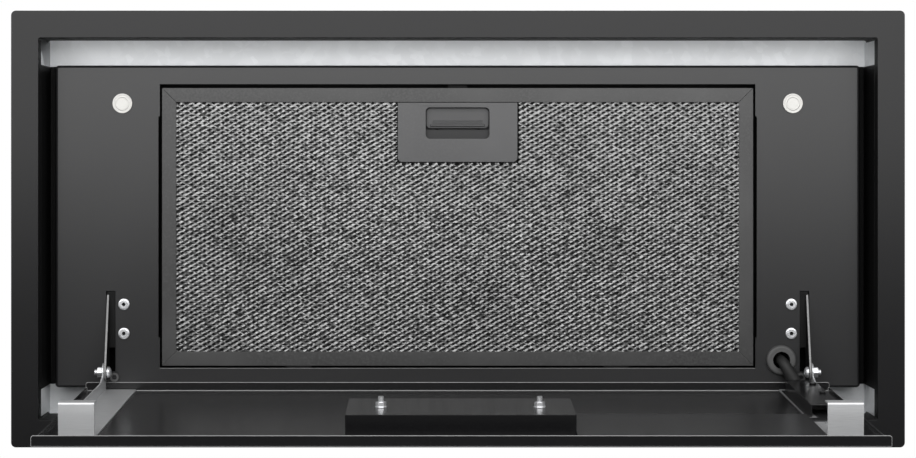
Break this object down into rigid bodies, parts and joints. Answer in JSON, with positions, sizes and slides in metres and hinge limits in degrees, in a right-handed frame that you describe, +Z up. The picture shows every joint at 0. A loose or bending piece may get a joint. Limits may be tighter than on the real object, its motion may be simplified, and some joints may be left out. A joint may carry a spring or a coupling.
{
  "type": "range hood insert",
  "caption": "Built-in range hood insert with a flanged frame, a latched grease filter and a swing-down front flap hinged at the rear.",
  "frame": {"origin": "middle of the cabinet cut-out, on the plane where the flange meets the underside of the cabinet", "axes": "+X to the right of the cook, +Y to the wall behind the hood, +Z up"},
  "size_m": [0.72, 0.352, 0.5173],
  "materials": {
    "black_paint": "gloss",
    "panel_paint": "satin",
    "zinc_sheet": "galvanised",
    "filter_frame_paint": "satin",
    "filter_mesh": "matte",
    "steel_hardware": "plated",
    "magnet_plate": "nickel plated",
    "black_rubber": "matte",
    "black_plastic": "matte",
    "grey_plastic": "matte",
    "touch_glass": "gloss",
    "light_lens": "opal",
    "board_green": "satin",
    "lead_black": "matte",
    "motor_metal": "matte"
  },
  "bodies": {
    "hood": {"flange_frame": "black_paint", "casing_shell": "zinc_sheet", "plenum_plate": "zinc_sheet", "inner_panel": "panel_paint", "latch_strike": "panel_paint", "hinge_arm_left": "panel_paint", "hinge_arm_right": "panel_paint", "hinge_rivets": "steel_hardware", "pivot_bolts": "steel_hardware", "pivot_nuts": "steel_hardware", "catch_magnets": "magnet_plate", "stop_buffers": "black_rubber", "cable_grommet": "black_rubber", "hinge_sleeve": "lead_black", "scroll_left": "black_plastic", "scroll_right": "black_plastic", "roof_screws": "steel_hardware", "motor_body": "motor_metal", "motor_spider": "zinc_sheet", "duct_collar": "black_plastic", "damper_spindle": "steel_hardware", "control_module": "grey_plastic", "module_cover": "grey_plastic", "inner_lead": "lead_black", "mains_gland": "black_plastic", "blower_leads": "lead_black", "capacitor": "grey_plastic", "capacitor_clip": "zinc_sheet"},
    "flap": {"flap_skin": "black_paint", "flap_inner_plate": "black_paint", "touch_window": "touch_glass", "light_guide": "light_lens", "flap_bracket_left": "zinc_sheet", "flap_bracket_right": "zinc_sheet", "bracket_rivets": "steel_hardware", "control_cover": "black_paint", "control_board": "board_green", "board_spacers": "grey_plastic", "control_studs": "steel_hardware", "control_nuts": "steel_hardware", "flap_ribbon": "lead_black", "lead_cover_plate": "black_paint", "lead_connector": "black_plastic", "flap_lead": "lead_black", "cable_cover": "black_paint", "cover_screws": "steel_hardware"},
    "filter": {"filter_long_rails": "filter_frame_paint", "filter_short_rails": "filter_frame_paint", "filter_mesh_front": "filter_mesh", "filter_mesh_core": "filter_mesh", "filter_mesh_back": "filter_mesh", "filter_hooks": "steel_hardware", "handle_plate": "filter_frame_paint", "handle_cup": "black_plastic", "latch_springs": "steel_hardware"},
    "latch": {"latch_slider": "black_plastic"},
    "fan": {"impeller": "grey_plastic", "motor_shaft": "steel_hardware"},
    "damper_front": {"damper_flap_front": "grey_plastic"},
    "damper_rear": {"damper_flap_rear": "grey_plastic"}
  },
  "joints": [
    {"name": "flap_hinge", "type": "hinge", "parent": "hood", "child": "flap", "pos_m": [0, 0.117, 0.0165], "axis": [1, 0, 0], "range_deg": [-92.7, 0], "deforming": ["hinge_sleeve"]},
    {"name": "filter_tilt", "type": "hinge", "parent": "hood", "child": "filter", "pos_m": [0, 0.1142, 0.0298], "axis": [1, 0, 0], "range_deg": [0, 55]},
    {"name": "latch_slide", "type": "slide", "parent": "filter", "child": "latch", "axis": [0, 1, 0], "range_m": [0, 0.003], "stiffness_N_per_m": 300, "springref_m": -0.003, "deforming": ["latch_springs"]},
    {"name": "fan_spin", "type": "hinge", "parent": "hood", "child": "fan", "pos_m": [0, -0.053, 0.152], "axis": [1, 0, 0], "continuous": true},
    {"name": "damper_front_swing", "type": "hinge", "parent": "hood", "child": "damper_front", "pos_m": [0, 0, 0.262], "axis": [-1, 0, 0], "range_deg": [0, 75]},
    {"name": "damper_rear_swing", "type": "hinge", "parent": "hood", "child": "damper_rear", "pos_m": [0, 0, 0.262], "axis": [1, 0, 0], "range_deg": [0, 75]}
  ]
}
